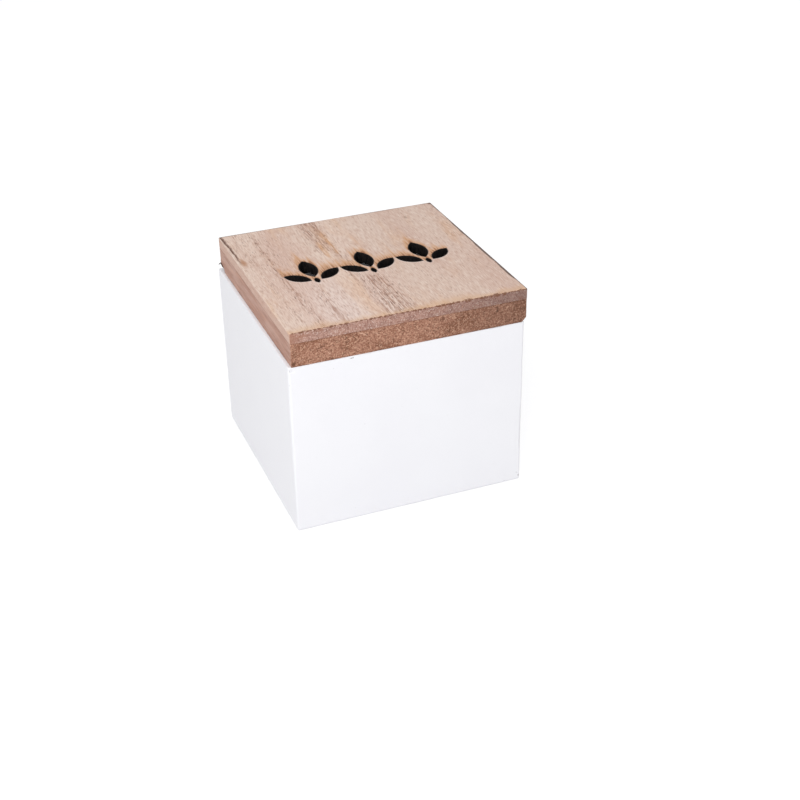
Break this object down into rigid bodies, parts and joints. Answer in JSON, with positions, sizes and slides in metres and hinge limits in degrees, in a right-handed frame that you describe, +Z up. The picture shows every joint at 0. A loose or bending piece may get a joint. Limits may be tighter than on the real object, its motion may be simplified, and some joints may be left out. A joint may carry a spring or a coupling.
{
  "type": "tea box",
  "caption": "Square wooden tea box: a white painted open body under a loose lift-off lid, with leaf sprigs cut right through the lid's thin top board.",
  "frame": {"origin": "centre of the body's underside, on the surface that the box stands on", "axes": "+X to the right, +Y from the front to the back, +Z up, with the sprigs reading upright from the front"},
  "size_m": [0.1007, 0.1003, 0.09],
  "materials": {
    "white_paint": "white matt paint over fibreboard",
    "fibreboard": "bare sanded fibreboard, reddish brown",
    "rim_board": "dark fibreboard strips",
    "light_wood": "bare sanded light wood with open pores"
  },
  "bodies": {
    "root": {"wall_front": "white_paint", "wall_back": "white_paint", "wall_left": "white_paint", "wall_right": "white_paint", "floor_panel": "white_paint", "lid_frame_front": "fibreboard", "lid_frame_back": "fibreboard", "lid_frame_left": "fibreboard", "lid_frame_right": "fibreboard", "rim_front": "rim_board", "rim_back": "rim_board", "rim_left": "rim_board", "rim_right": "rim_board", "lid_board": "light_wood"}
  },
  "joints": []
}
